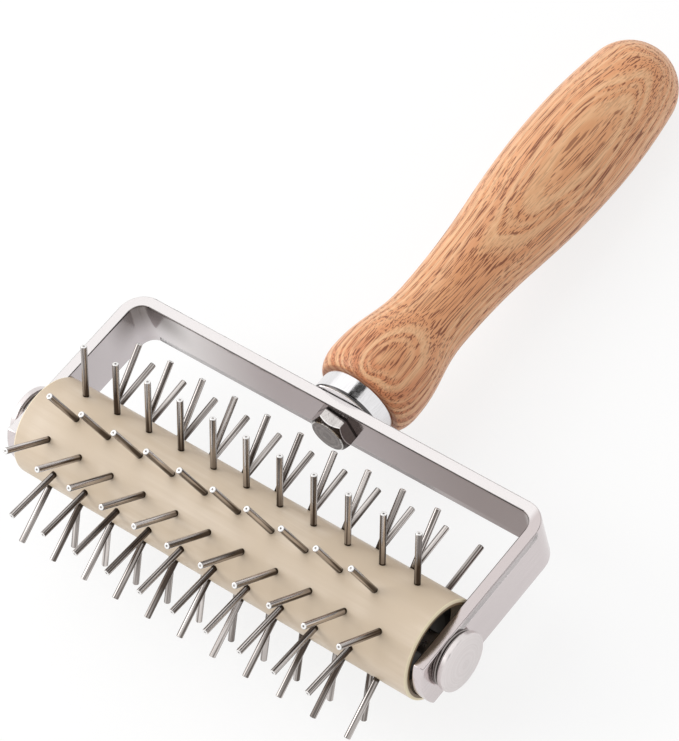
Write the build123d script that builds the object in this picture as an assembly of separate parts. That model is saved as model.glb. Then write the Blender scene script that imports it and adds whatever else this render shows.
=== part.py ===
from build123d import *

import os
from math import asin, atan2, cos, degrees, hypot, pi, radians, sin

# A dough docker: a hand roller set with blunt steel pins, which pricks holes in rolled dough.
# Lengths are millimetres and angles are degrees.
# Each piece is drawn in the docker's own frame: the roller turns about X, the handle runs along +Y
# and the yoke's flat bar stands on edge, its width along Z. The docker is then laid down on the
# table, on its lowest row of pins and on the thick of its grip, with +Z up.
# The origin is on the table, under the middle of the laid docker.

# Roller
ROLLER_LENGTH = 119.0
ROLLER_RADIUS = 12.6
SLEEVE_WALL = 1.4
RIM_CHAMFER = 0.5
END_RECESS = 6.0

# Pins, in rows along the roller: long rows and short rows take turns round it
# Each pin's line passes beside the roller's own axis, so all of them lean the same way.
PIN_RADIUS = 0.8
PIN_STANDOUT = 14.8
PIN_OFFSET = 3.0
PIN_TIP_CHAMFER = 0.2
LONG_ROW_PINS = 11
LONG_ROW_MARGIN = 9.5
SHORT_ROW_SHIFT = -1.2
ROW_COUNT = 10
WIDE_STEP_COUNT = 3
CLOSE_ROW_SHARE = 0.95
FULL_TURN = 360.0
REST_TURN = 1.3

# Axle, its bushes and what closes its ends
AXLE_RADIUS = 3.0
RUNNING_GAP = 0.05
ROLLER_END_GAP = 0.5
BUSH_RADIUS = 5.5
BUSH_LENGTH = 9.0
BUSH_FLANGE_RADIUS = 7.5
BUSH_FLANGE = 1.2
CORE_RELIEF = 0.8
WASHER_RADIUS = 7.0
WASHER_THICKNESS = 1.2
WASHER_GROOVE = 0.3
CAP_RADIUS = 7.4
CAP_EDGE = 1.5
CAP_DOME = 0.8
CAP_EASE = 0.35
CAP_SOCKET = 1.2

# Yoke: one flat bar bent to a U
BAR_THICKNESS = 3.0
BAR_WIDTH = 14.0
BAR_EASE = 0.3
BEND_RADIUS = 3.5
PIN_CLEARANCE = 8.8
ARM_OVERRUN = 9.0
ARM_END_BULGE = 2.0

# Ferrule: a drawn cup between the yoke and the wood
FERRULE_RADIUS = 9.9
FERRULE_LENGTH = 5.3
FERRULE_WALL = 0.8
FERRULE_CORNER = 0.6

# Handle bolt and the threaded insert that it screws into
BOLT_RADIUS = 3.0
BOLT_HOLE_GAP = 0.2
HEAD_SIDES = 6
HEAD_FLATS = 10.0
HEAD_HEIGHT = 4.0
HEAD_TURN = -11.0
HEAD_CHAMFER_DROP = 0.6
HEAD_CHAMFER_INSET = 0.7
BOLT_GRIP_LENGTH = 30.0
INSERT_RADIUS = 4.6
INSERT_LENGTH = 18.0
INSERT_DEPTH = 8.0
DRILL_POINT_GAP = 2.0

# Handle: a turned wooden grip, its stations measured from the ferrule's rim
# It stands a little to one side of the yoke's middle, and its bolt and ferrule with it.
HANDLE_SHIFT = 0.9
HANDLE_LENGTH = 121.5
SHOULDER_RADIUS = 10.3
BULB_STATION = 6.0
BULB_RADIUS = 13.0
WAIST_STATION = 29.0
WAIST_RADIUS = 10.0
GRIP_END_MARGIN = 34.5
GRIP_RADIUS = 13.9
GRIP_END_TAPER = 1.7
SHOULDER_SHARE = 0.55
CURVE_SHARE = 0.45

# One overrun for all cuts
OVERRUN = 1.0

# Places that follow from the sizes above
CORE_RADIUS = ROLLER_RADIUS - SLEEVE_WALL
CORE_LENGTH = ROLLER_LENGTH - 2 * END_RECESS
PIN_REACH = ROLLER_RADIUS + PIN_STANDOUT
PIN_LEAN = degrees(asin(PIN_OFFSET / PIN_REACH))
PIN_TIP = PIN_REACH * cos(radians(PIN_LEAN))
PIN_PITCH = (ROLLER_LENGTH - 2 * LONG_ROW_MARGIN) / (LONG_ROW_PINS - 1)
CLOSE_ROW_GAPS = ROW_COUNT - WIDE_STEP_COUNT
CLOSE_ROW_STEP = CLOSE_ROW_SHARE * FULL_TURN / ROW_COUNT
BORE_RADIUS = AXLE_RADIUS + RUNNING_GAP
ARM_INNER = ROLLER_LENGTH / 2 + ROLLER_END_GAP
ARM_OUTER = ARM_INNER + BAR_THICKNESS
BRIDGE_INNER = PIN_REACH + PIN_CLEARANCE
BRIDGE_OUTER = BRIDGE_INNER + BAR_THICKNESS
FERRULE_RIM = BRIDGE_OUTER + FERRULE_LENGTH
GRIP_STATION = HANDLE_LENGTH - GRIP_END_MARGIN
HANDLE_END_RADIUS = GRIP_RADIUS - GRIP_END_TAPER
TENON_RADIUS = FERRULE_RADIUS - FERRULE_WALL
CAP_INNER = ARM_OUTER + WASHER_THICKNESS
AXLE_END = CAP_INNER + CAP_SOCKET


def rod(radius, start, end, axis=Axis.X):
    """A round bar along an axis through the origin, from one station to another."""
    plane = Plane(origin=axis.position + axis.direction * start, z_dir=axis.direction)
    return extrude(plane * Circle(radius), amount=end - start)


def spun_about_x(outline):
    """The solid that a closed outline in XY makes when it turns about X."""
    return revolve(Plane.XY * outline, axis=Axis.X)


def spun_about_y(outline):
    """The solid that a closed outline in XY makes when it turns about Y."""
    return revolve(Plane.XY * outline, axis=Axis.Y)


def row_angles():
    """The angle of each row of pins from the lowest one, which is the first."""
    wide_step = (FULL_TURN - CLOSE_ROW_GAPS * CLOSE_ROW_STEP) / WIDE_STEP_COUNT
    steps = [wide_step] * (WIDE_STEP_COUNT - 1) + [CLOSE_ROW_STEP] * CLOSE_ROW_GAPS
    return [sum(steps[:k]) for k in range(ROW_COUNT)]


def row_stations(row):
    """The places of a row's pins along the roller: even rows are long, odd ones short."""
    short = row % 2
    count = LONG_ROW_PINS - short
    middle = SHORT_ROW_SHIFT * short
    return [middle + (i - (count - 1) / 2) * PIN_PITCH for i in range(count)]


def roller_sleeve(pins):
    """The moulded tube that the pins stand in, with chamfered rims and a hole for each pin."""
    half = ROLLER_LENGTH / 2
    tube = rod(ROLLER_RADIUS, -half, half) - rod(CORE_RADIUS, -half - OVERRUN, half + OVERRUN)
    rims = tube.edges().filter_by(GeomType.CIRCLE).sort_by(SortBy.RADIUS)[-2:]
    return chamfer(rims, RIM_CHAMFER) - pins


def roller_core():
    """The plug inside the sleeve, short of its rims, bored for the axle and its two bushes."""
    half = CORE_LENGTH / 2
    core = rod(CORE_RADIUS, -half, half)
    core -= rod(AXLE_RADIUS + CORE_RELIEF, -half - OVERRUN, half + OVERRUN)
    for side in (-1, 1):
        core -= rod(BUSH_RADIUS, side * (half - BUSH_LENGTH), side * (half + OVERRUN))
    return core


def bush(side):
    """A flanged bush, pressed into one end of the core."""
    mouth = side * CORE_LENGTH / 2
    body = rod(BUSH_RADIUS, mouth - side * BUSH_LENGTH, mouth)
    body += rod(BUSH_FLANGE_RADIUS, mouth, mouth + side * BUSH_FLANGE)
    bore_start = mouth - side * (BUSH_LENGTH + OVERRUN)
    return body - rod(BORE_RADIUS, bore_start, mouth + side * (BUSH_FLANGE + OVERRUN))


def pin():
    """One blunt pin along +Y beside the axis, from the core's surface out to its flat tip."""
    shank = rod(PIN_RADIUS, 0, PIN_TIP, Axis.Y)
    shank = chamfer(shank.faces().sort_by(Axis.Y)[-1].edges(), PIN_TIP_CHAMFER)
    half = PIN_RADIUS + OVERRUN
    return Pos(Z=-PIN_OFFSET) * shank - rod(CORE_RADIUS, -half, half)


def pin_row(row, lowest_turn):
    """A row of equal pins, turned to its place round the roller."""
    turn = Rotation(X=lowest_turn + row_angles()[row] + PIN_LEAN - 90)
    blank = pin()
    return [turn * (Pos(X=x) * blank) for x in row_stations(row)]


def yoke():
    """The bent flat bar, with convex arm ends and holes for the axle and the handle bolt."""
    outer_radius = BEND_RADIUS + BAR_THICKNESS
    tip = -ARM_OVERRUN - ARM_END_BULGE
    outer = Pos(Y=(BRIDGE_OUTER + tip) / 2) * Rectangle(2 * ARM_OUTER, BRIDGE_OUTER - tip)
    inner_tip = tip - OVERRUN
    inner = Pos(Y=(BRIDGE_INNER + inner_tip) / 2) * Rectangle(2 * ARM_INNER, BRIDGE_INNER - inner_tip)
    outer = fillet(outer.vertices().group_by(Axis.Y)[-1], outer_radius)
    inner = fillet(inner.vertices().group_by(Axis.Y)[-1], BEND_RADIUS)
    bar = extrude(outer - inner, amount=BAR_WIDTH / 2, both=True) & arm_end_trim(tip)
    bar = chamfer(long_edges(bar), BAR_EASE)
    bar -= rod(AXLE_RADIUS, -ARM_OUTER - OVERRUN, ARM_OUTER + OVERRUN)
    bolt_hole = rod(BOLT_RADIUS + BOLT_HOLE_GAP, BRIDGE_INNER - OVERRUN, BRIDGE_OUTER + OVERRUN, Axis.Y)
    return bar - Pos(X=HANDLE_SHIFT) * bolt_hole


def arm_end_trim(tip):
    """A block that rounds the arms' ends to a shallow arc where it meets the bar."""
    half = BAR_WIDTH / 2
    sides = [(-ARM_OVERRUN, half), (BRIDGE_OUTER + OVERRUN, half),
             (BRIDGE_OUTER + OVERRUN, -half), (-ARM_OVERRUN, -half)]
    outline = Polyline(*sides) + ThreePointArc(sides[-1], (tip, 0), sides[0])
    return extrude(Plane.YZ * make_face(outline), amount=ARM_OUTER + OVERRUN, both=True)


def long_edges(bar):
    """The bar's edges that run lengthwise, on both of its narrow faces."""
    narrow = bar.faces().filter_by(Plane.XY)
    return [edge for face in narrow for edge in face.edges() if edge.center().Y > -ARM_OVERRUN]


def axle():
    """The plain rod that carries the roller, held in both arms and both caps."""
    return rod(AXLE_RADIUS, -AXLE_END, AXLE_END)


def axle_washer(side):
    """The grooved ring between an arm and its cap."""
    ring = rod(WASHER_RADIUS, ARM_OUTER, CAP_INNER) - rod(AXLE_RADIUS, ARM_OUTER - OVERRUN, AXLE_END)
    middle = (ARM_OUTER + CAP_INNER) / 2
    groove = Polyline((middle - WASHER_GROOVE, WASHER_RADIUS + WASHER_GROOVE / 2),
                      (middle, WASHER_RADIUS - WASHER_GROOVE),
                      (middle + WASHER_GROOVE, WASHER_RADIUS + WASHER_GROOVE / 2), close=True)
    ring -= spun_about_x(make_face(groove))
    return ring if side > 0 else mirror(ring, about=Plane.YZ)


def axle_cap(side):
    """The round cap on an axle end: a straight rim, a low dome and a socket for the axle."""
    rim = CAP_INNER + CAP_EDGE
    crown = (rim + CAP_DOME, 0)
    outline = Polyline((CAP_INNER, 0), (CAP_INNER, CAP_RADIUS), (rim, CAP_RADIUS))
    outline += ThreePointArc((rim, CAP_RADIUS), dome_point(rim), crown)
    outline += Line(crown, (CAP_INNER, 0))
    face = make_face(outline)
    corner = face.vertices().sort_by_distance((rim, CAP_RADIUS))[0]
    cap = spun_about_x(fillet([corner], CAP_EASE))
    cap -= rod(AXLE_RADIUS, CAP_INNER - OVERRUN, AXLE_END)
    return cap if side > 0 else mirror(cap, about=Plane.YZ)


def dome_point(rim):
    """A point of the cap's dome halfway out, on the arc from its crown to its rim."""
    arc_radius = (CAP_RADIUS ** 2 + CAP_DOME ** 2) / (2 * CAP_DOME)
    half = CAP_RADIUS / 2
    return (rim + CAP_DOME - arc_radius + (arc_radius ** 2 - half ** 2) ** 0.5, half)


def ferrule():
    """The drawn cup on the wood's tenon, its floor against the yoke."""
    cup = rod(FERRULE_RADIUS, BRIDGE_OUTER, FERRULE_RIM, Axis.Y)
    cup = fillet(cup.faces().sort_by(Axis.Y)[0].edges(), FERRULE_CORNER)
    cup -= rod(TENON_RADIUS, BRIDGE_OUTER + FERRULE_WALL, FERRULE_RIM + OVERRUN, Axis.Y)
    bolt_hole = BOLT_RADIUS + BOLT_HOLE_GAP
    return cup - rod(bolt_hole, BRIDGE_OUTER - OVERRUN, FERRULE_RIM, Axis.Y)


def handle_bolt():
    """The hexagon-head bolt inside the yoke that holds the ferrule and the handle to it."""
    plane = Plane(origin=(0, BRIDGE_INNER, 0), x_dir=(1, 0, 0), z_dir=(0, -1, 0))
    hexagon = RegularPolygon(HEAD_FLATS / 2, HEAD_SIDES, major_radius=False, rotation=HEAD_TURN)
    head = extrude(plane * hexagon, amount=HEAD_HEIGHT) & head_chamfer()
    return head + rod(BOLT_RADIUS, BRIDGE_INNER, BRIDGE_INNER + BOLT_GRIP_LENGTH, Axis.Y)


def head_chamfer():
    """A turned blank that takes the corners off the head's free face."""
    corner = HEAD_FLATS / 2 / cos(pi / HEAD_SIDES) + OVERRUN
    slope = HEAD_CHAMFER_DROP / HEAD_CHAMFER_INSET
    face = BRIDGE_INNER - HEAD_HEIGHT
    flat = HEAD_FLATS / 2 - HEAD_CHAMFER_INSET
    outline = Polyline((0, face), (flat, face), (corner, face + (corner - flat) * slope),
                       (corner, BRIDGE_INNER), (0, BRIDGE_INNER), close=True)
    return spun_about_y(make_face(outline))


def handle_insert():
    """The threaded sleeve in the wood that takes the bolt."""
    start = FERRULE_RIM + INSERT_DEPTH
    sleeve = rod(INSERT_RADIUS, start, start + INSERT_LENGTH, Axis.Y)
    return sleeve - rod(BOLT_RADIUS, start - OVERRUN, start + INSERT_LENGTH + OVERRUN, Axis.Y)


def grip_arc_radius():
    """The radius of the long arc over the thick of the grip, which runs into the round end."""
    reach = GRIP_END_MARGIN - HANDLE_END_RADIUS
    drop = GRIP_RADIUS - HANDLE_END_RADIUS
    return (reach ** 2 + GRIP_RADIUS ** 2 - HANDLE_END_RADIUS ** 2) / (2 * drop)


def s_curve(start, end):
    """A curve in XY between two radii, along the handle's length at both of its ends."""
    (r0, y0), (r1, y1) = start, end
    ease = (y1 - y0) * CURVE_SHARE
    return Bezier((r0, y0), (r0, y0 + ease), (r1, y1 - ease), (r1, y1))


def handle_outline():
    """Half of the handle's long section: tenon, shoulder, bulb, waist, grip and round end."""
    floor = BRIDGE_OUTER + FERRULE_WALL
    shoulder = (SHOULDER_RADIUS, FERRULE_RIM)
    bulb = (BULB_RADIUS, FERRULE_RIM + BULB_STATION)
    waist = (WAIST_RADIUS, FERRULE_RIM + WAIST_STATION)
    grip = (GRIP_RADIUS, FERRULE_RIM + GRIP_STATION)
    end = (0, FERRULE_RIM + HANDLE_LENGTH)
    rise = (BULB_RADIUS - SHOULDER_RADIUS) * SHOULDER_SHARE
    run = BULB_STATION * SHOULDER_SHARE
    arc_radius = grip_arc_radius()
    arc_centre = Vector(GRIP_RADIUS - arc_radius, grip[1])
    end_centre = Vector(0, end[1] - HANDLE_END_RADIUS)
    toward_end = (end_centre - arc_centre).normalized()
    meeting = arc_centre + toward_end * arc_radius
    outline = Polyline((0, floor), (TENON_RADIUS, floor), (TENON_RADIUS, FERRULE_RIM), shoulder)
    outline += Bezier(shoulder, (SHOULDER_RADIUS + rise, FERRULE_RIM),
                      (BULB_RADIUS, bulb[1] - run), bulb)
    outline += s_curve(bulb, waist)
    outline += s_curve(waist, grip)
    outline += TangentArc(grip, meeting, tangent=(0, 1))
    outline += TangentArc(meeting, end, tangent=(-toward_end.Y, toward_end.X))
    outline += Line(end, (0, floor))
    return make_face(outline)


def handle():
    """The turned wooden handle, drilled for the bolt and counterbored for its insert."""
    wood = spun_about_y(handle_outline())
    start = FERRULE_RIM + INSERT_DEPTH
    drill_end = max(start + INSERT_LENGTH, BRIDGE_INNER + BOLT_GRIP_LENGTH) + DRILL_POINT_GAP
    wood -= rod(BOLT_RADIUS + BOLT_HOLE_GAP, BRIDGE_OUTER, drill_end, Axis.Y)
    return wood - rod(INSERT_RADIUS, start, start + INSERT_LENGTH, Axis.Y)


def lay_down_tilt():
    """How far the handle drops from level when lowest pins and grip both touch the table."""
    turn = radians(REST_TURN)
    edge_drop = (PIN_RADIUS - PIN_TIP_CHAMFER) * abs(sin(turn + radians(PIN_LEAN)))
    axle_height = PIN_REACH * cos(turn) + edge_drop
    arc_radius = grip_arc_radius()
    along = FERRULE_RIM + GRIP_STATION
    across = arc_radius - GRIP_RADIUS
    return degrees(atan2(across, along) + asin((axle_height - arc_radius) / hypot(along, across)))


def docker_pieces():
    """Every piece of the docker in its own frame, by name; a row of pins is a list of solids."""
    tilt = lay_down_tilt()
    rows = [pin_row(row, tilt + REST_TURN) for row in range(ROW_COUNT)]
    pins = [one for row in rows for one in row]
    aside = Pos(X=HANDLE_SHIFT)
    pieces = {
        "yoke": yoke(),
        "handle": aside * handle(),
        "ferrule": aside * ferrule(),
        "handle_bolt": aside * handle_bolt(),
        "handle_insert": aside * handle_insert(),
        "axle": axle(),
        "axle_washer_left": axle_washer(-1),
        "axle_washer_right": axle_washer(1),
        "axle_cap_left": axle_cap(-1),
        "axle_cap_right": axle_cap(1),
        "roller_sleeve": roller_sleeve(pins),
        "roller_core": roller_core(),
        "bush_left": bush(-1),
        "bush_right": bush(1),
    }
    for number, row in enumerate(rows, start=1):
        pieces[f"pin_row_{number:02d}"] = Compound(children=row)
    return pieces


def laid_down(pieces):
    """The pieces tilted onto the table and centred on the origin, and the axle's new place."""
    tilted = {name: Rotation(X=-lay_down_tilt()) * piece for name, piece in pieces.items()}
    box = Compound(children=[Compound(piece.wrapped) for piece in tilted.values()]).bounding_box()
    shift = Vector(-box.center().X, -box.center().Y, -box.min.Z)
    return {name: Pos(shift) * piece for name, piece in tilted.items()}, shift


def main():
    os.makedirs("parts", exist_ok=True)
    pieces, axle_place = laid_down(docker_pieces())
    for name, piece in pieces.items():
        export_step(piece, f"parts/{name}.step")
    print(f"tilt {lay_down_tilt():.4f} degrees, axle centre {axle_place}")


if __name__ == "__main__":
    main()
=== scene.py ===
"""The looks of a dough docker: its roller of pins, bent steel yoke and turned wooden handle.

Sub-assemblies are modelled in the docker's own frame, in millimetres: the roller turns about X,
the handle runs along +Y and the yoke's flat bar is 14 mm wide along Z. Each finished mesh is then
laid down on the table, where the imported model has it.
"""

from __future__ import annotations

import logging
import math
from dataclasses import dataclass, field
from enum import Enum
from typing import Any, Sequence

import bmesh
import bpy
from mathutils import Matrix, Vector
from mathutils.geometry import interpolate_bezier

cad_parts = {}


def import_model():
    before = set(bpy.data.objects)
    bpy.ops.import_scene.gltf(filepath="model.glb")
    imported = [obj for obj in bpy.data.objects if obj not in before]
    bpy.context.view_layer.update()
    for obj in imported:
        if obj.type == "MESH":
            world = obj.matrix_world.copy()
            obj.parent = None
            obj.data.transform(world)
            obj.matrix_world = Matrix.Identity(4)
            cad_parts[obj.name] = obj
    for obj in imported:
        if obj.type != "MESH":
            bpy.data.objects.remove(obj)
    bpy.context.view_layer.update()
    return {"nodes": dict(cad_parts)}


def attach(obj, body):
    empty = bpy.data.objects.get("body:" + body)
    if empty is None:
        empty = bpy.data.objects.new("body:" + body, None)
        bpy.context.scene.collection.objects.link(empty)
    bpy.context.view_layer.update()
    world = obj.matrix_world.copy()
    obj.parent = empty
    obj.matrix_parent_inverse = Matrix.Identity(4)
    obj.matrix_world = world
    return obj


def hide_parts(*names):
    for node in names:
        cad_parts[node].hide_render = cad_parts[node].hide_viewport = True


log = logging.getLogger("dough_docker")

PIN_PLACE = "pin_place"
PIN_TONE = "pin_tone"
ALONG_BAR = "along_bar"
HANDLE_ASIDE = 0.9
MILLIMETRE = 0.001
MERGED_WITHIN = 0.0005
HEAD_SIDES = 6
QUARTER_TURN = math.radians(90)

Point = tuple[float, float]
# Where a ramp's reading starts and ends, then what it gives there, where that isn't 0 and 1
Ramp = tuple[float, ...]
Triple = tuple[float, float, float]
Colour = tuple[float, float, float]
Node = bpy.types.Node
Socket = bpy.types.NodeSocket
Shape = bmesh.types.BMesh
Face = bmesh.types.BMFace
Piece = bpy.types.Object


class Body(Enum):
    """The two bodies that the roller's hinge joins."""

    FRAME = "frame"
    ROLLER = "roller"


class Turn(Enum):
    """The axis of the docker's own frame that a turned piece is round about."""

    ROLLER_AXIS = "X"
    HANDLE_AXIS = "Y"

    def spot(self, radius: float, station: float) -> Vector:
        """The point of a half section at this radius and station."""
        place = (station, radius, 0) if self is Turn.ROLLER_AXIS else (radius, station, 0)
        return Vector(place)

    def direction(self) -> Vector:
        """The axis as a unit vector."""
        return Vector((1, 0, 0)) if self is Turn.ROLLER_AXIS else Vector((0, 1, 0))

    def across(self) -> Triple:
        """A mask that keeps the two directions across the axis."""
        return (0, 1, 1) if self is Turn.ROLLER_AXIS else (1, 0, 1)


class Side(Enum):
    """The docker's two sides along the roller."""

    LEFT = -1
    RIGHT = 1


@dataclass(frozen=True)
class LaidDocker:
    """Where the docker lies on the table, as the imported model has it."""

    tilt_degrees: float = 5.6182
    axle: Triple = (0.0, -69.40414, 27.47215)

    def matrix(self) -> Matrix:
        """The transform from the docker's own frame, in millimetres, to the table's, in metres."""
        turn = Matrix.Rotation(-math.radians(self.tilt_degrees), 4, "X")
        return Matrix.Scale(MILLIMETRE, 4) @ Matrix.Translation(self.axle) @ turn

    def way_back(self) -> tuple[Vector, Vector]:
        """The location and rotation that bring table millimetres to the docker's own frame."""
        turn = Matrix.Rotation(math.radians(self.tilt_degrees), 4, "X")
        return turn @ -Vector(self.axle), Vector((math.radians(self.tilt_degrees), 0, 0))


LAID = LaidDocker()


def srgb(red: int, green: int, blue: int) -> Colour:
    """A colour given as it looks on a screen, from 0 to 255, as linear shares of light."""
    shares = (value / 255 for value in (red, green, blue))
    return tuple(s / 12.92 if s <= 0.04045 else ((s + 0.055) / 1.055) ** 2.4 for s in shares)


class NodeBoard:
    """A node tree with short calls to fill it."""

    def __init__(self, tree: bpy.types.NodeTree) -> None:
        """Keeps the tree of a material, a world or a group, and empties it."""
        self.tree = tree
        tree.nodes.clear()

    def put(self, node: Node, sockets: dict[Any, Any]) -> None:
        """Sets or links inputs of a node.

        Args:
            node: The node.
            sockets: Values or output sockets for its inputs, by name or number.
        """
        for name, value in sockets.items():
            if isinstance(value, Socket):
                self.tree.links.new(value, node.inputs[name])
            elif node.inputs[name].type == "RGBA":
                node.inputs[name].default_value = (*value, 1)
            else:
                node.inputs[name].default_value = value

    def add(self, kind: str, sockets: dict[Any, Any] | None = None, **settings: Any) -> Node:
        """Adds a node.

        Args:
            kind: The node's type name, without ShaderNode before it.
            sockets: Values or output sockets for its inputs, by name or number.
            settings: Properties of the node.

        Returns:
            The new node.
        """
        node = self.tree.nodes.new(kind if kind.startswith("Node") else f"ShaderNode{kind}")
        for name, value in settings.items():
            setattr(node, name, value)
        self.put(node, sockets or {})
        return node

    def math(self, operation: str, first: Any, second: Any = 0.0, clamp: bool = False) -> Socket:
        """The result of one math node, kept from 0 to 1 if clamp is set."""
        sockets = {0: first, 1: second}
        return self.add("Math", sockets, operation=operation, use_clamp=clamp).outputs[0]

    def times(self, first: Any, second: Any) -> Socket:
        """The product of two numbers or sockets."""
        return self.math("MULTIPLY", first, second)

    def less(self, first: Any, second: Any) -> Socket:
        """The first number or socket less the second."""
        return self.math("SUBTRACT", first, second)

    def blend(self, first: Any, second: Any, shares: Point) -> Socket:
        """The sum of two numbers or sockets, each times its share."""
        return self.math("ADD", self.times(first, shares[0]), self.times(second, shares[1]))

    def gap(self, value: Any, mark: Any) -> Socket:
        """How far a value is from a mark."""
        return self.math("ABSOLUTE", self.less(value, mark))

    def vector(self, operation: str, first: Any, second: Any) -> Socket:
        """The vector that one vector math node gives."""
        return self.add("VectorMath", {0: first, 1: second}, operation=operation).outputs[0]

    def length(self, vector: Socket, mask: Any) -> Socket:
        """The length of a vector in the directions that a mask keeps."""
        kept = self.vector("MULTIPLY", vector, mask)
        return self.add("VectorMath", {0: kept}, operation="LENGTH").outputs["Value"]

    def split(self, vector: Socket) -> list[Socket]:
        """A vector's three numbers."""
        return list(self.add("SeparateXYZ", {0: vector}).outputs)

    def attribute(self, name: str, output: str = "Vector") -> Socket:
        """What the mesh's own attribute of this name says."""
        node = self.add("Attribute", attribute_name=name, attribute_type="GEOMETRY")
        return node.outputs[output]

    def mix(self, share: Any, first: Any, second: Any) -> Socket:
        """Two colours mixed, with this share of the second."""
        sockets = {"Factor": share, 6: first, 7: second}
        return self.add("Mix", sockets, data_type="RGBA").outputs[2]

    def ramp(self, value: Any, low: Any, high: Any, start: float = 0.0, end: float = 1.0) -> Socket:
        """A smooth step.

        Args:
            value: The socket that it reads.
            low: The reading at which it starts to change.
            high: The reading at which it has changed.
            start: The result below low.
            end: The result above high.

        Returns:
            The socket with the result.
        """
        sockets = {0: value, 1: low, 2: high, 3: start, 4: end}
        settings = {"interpolation_type": "SMOOTHSTEP", "clamp": True}
        return self.add("MapRange", sockets, **settings).outputs[0]

    def noise(self, sockets: dict[str, Any], low: Any, high: Any, **settings: Any) -> Socket:
        """A noise texture cut between two levels.

        Args:
            sockets: The noise's inputs by name.
            low: The level below which the result is 0.
            high: The level above which the result is 1.
            settings: Properties of the noise node.

        Returns:
            The socket with the result.
        """
        return self.ramp(self.add("TexNoise", sockets, **settings).outputs["Fac"], low, high)


class SharedEffect:
    """An effect that several finishes use: a node group, built once, that puts out a mask."""

    name = "effect"
    inputs: dict[str, Any] = {}

    @classmethod
    def tree(cls) -> bpy.types.NodeTree:
        """The effect's node group, made on its first use.

        Returns:
            The group, with the effect's inputs and one output named mask.
        """
        if cls.name in bpy.data.node_groups:
            return bpy.data.node_groups[cls.name]
        group = bpy.data.node_groups.new(cls.name, "ShaderNodeTree")
        for label, value in cls.inputs.items():
            kind = "NodeSocketVector" if isinstance(value, tuple) else "NodeSocketFloat"
            made = group.interface.new_socket(label, in_out="INPUT", socket_type=kind)
            made.default_value = value
        group.interface.new_socket("mask", in_out="OUTPUT", socket_type="NodeSocketFloat")
        board = NodeBoard(group)
        given = board.add("NodeGroupInput").outputs
        board.add("NodeGroupOutput", {"mask": cls.fill(board, given)})
        return group

    @classmethod
    def fill(cls, board: NodeBoard, given: Any) -> Socket:
        """Lays the group's nodes from its given inputs on and returns the mask's socket."""
        raise NotImplementedError

    @classmethod
    def mask(cls, board: NodeBoard, **values: Any) -> Socket:
        """Adds the effect to a material, with its inputs by name, and returns its mask."""
        return board.add("Group", values, node_tree=cls.tree()).outputs["mask"]


class Streaks(SharedEffect):
    """Thin streaks that run one way: brushing and draw lines on steel, fibres in wood."""

    name = "streaks"
    inputs = {"place": (0, 0, 0), "stretch": (1, 1, 1), "detail": 2.0, "low": 0.3, "high": 0.7}

    @classmethod
    def fill(cls, board: NodeBoard, given: Any) -> Socket:
        """Noise on stretched places, cut between two levels.

        Args:
            board: The group's nodes.
            given: The group's inputs by name.

        Returns:
            The mask's socket.
        """
        place = board.vector("MULTIPLY", given["place"], given["stretch"])
        sockets = {"Vector": place, "Scale": 1.0, "Detail": given["detail"], "Roughness": 0.6}
        return board.noise(sockets, given["low"], given["high"])


class TurnedRings(SharedEffect):
    """Fine rings that a turning tool leaves, by distance from the piece's axis."""

    name = "turned_rings"
    inputs = {"place": (0, 0, 0), "across": (0, 1, 1), "rings_per_mm": 6.0, "detail": 2.0}
    levels = (0.3, 0.7)

    @classmethod
    def fill(cls, board: NodeBoard, given: Any) -> Socket:
        """One-dimensional noise of the distance from the axis.

        Args:
            board: The group's nodes.
            given: The group's inputs by name.

        Returns:
            The mask's socket.
        """
        radius = board.length(given["place"], given["across"])
        sockets = {"W": radius, "Scale": given["rings_per_mm"], "Detail": given["detail"]}
        return board.noise(sockets, *cls.levels, noise_dimensions="1D")


class Smudges(SharedEffect):
    """Broad soft patches of handling that vary a surface's gloss and tone."""

    name = "smudges"
    inputs = {"place": (0, 0, 0), "patch_size": 10.0, "detail": 2.0}
    levels = (0.35, 0.65)

    @classmethod
    def fill(cls, board: NodeBoard, given: Any) -> Socket:
        """Slow noise over the piece.

        Args:
            board: The group's nodes.
            given: The group's inputs by name.

        Returns:
            The mask's socket.
        """
        scale = board.math("DIVIDE", 1.0, given["patch_size"])
        sockets = {"Vector": given["place"], "Scale": scale, "Detail": given["detail"]}
        return board.noise(sockets, *cls.levels)


@dataclass(frozen=True)
class Finish:
    """What every finish has: a name that no packed material has, and its piece's axis."""

    name: str = "finish"
    aside: float = 0.0

    def material(self) -> bpy.types.Material:
        """The finish's material, made on its first use.

        Returns:
            The material.
        """
        if self.name in bpy.data.materials:
            return bpy.data.materials[self.name]
        made = bpy.data.materials.new(self.name)
        made.use_nodes = True
        board = NodeBoard(made.node_tree)
        shader = board.add("BsdfPrincipled", self.dress(board)).outputs[0]
        board.add("OutputMaterial", {"Surface": self.surface(board, shader)})
        return made

    def surface(self, board: NodeBoard, shader: Socket) -> Socket:
        """What the material's output takes, which is the shader alone for most finishes."""
        return shader

    def dress(self, board: NodeBoard) -> dict[str, Any]:
        """Lays the nodes of what changes over the surface.

        Args:
            board: The material's nodes.

        Returns:
            The shader's inputs by name: sockets, and numbers that are the same all over.
        """
        raise NotImplementedError

    def own_place(self, board: NodeBoard) -> Socket:
        """The place on the piece in the docker's own frame, moved aside to the piece's axis.

        Args:
            board: The material's nodes.

        Returns:
            The socket with the place in millimetres.
        """
        location, rotation = LAID.way_back()
        sockets = {"Vector": board.add("TexCoord").outputs["Object"], "Rotation": rotation,
                   "Location": location - Vector((self.aside, 0, 0)),
                   "Scale": (1 / MILLIMETRE,) * 3}
        return board.add("Mapping", sockets).outputs[0]

    @staticmethod
    def bump(board: NodeBoard, height: Socket, depth: float, strength: float = 1.0) -> Socket:
        """The normal over a height from 0 to 1 whose depth is given in metres."""
        sockets = {"Height": height, "Distance": depth, "Strength": strength}
        return board.add("Bump", sockets).outputs[0]


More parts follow.
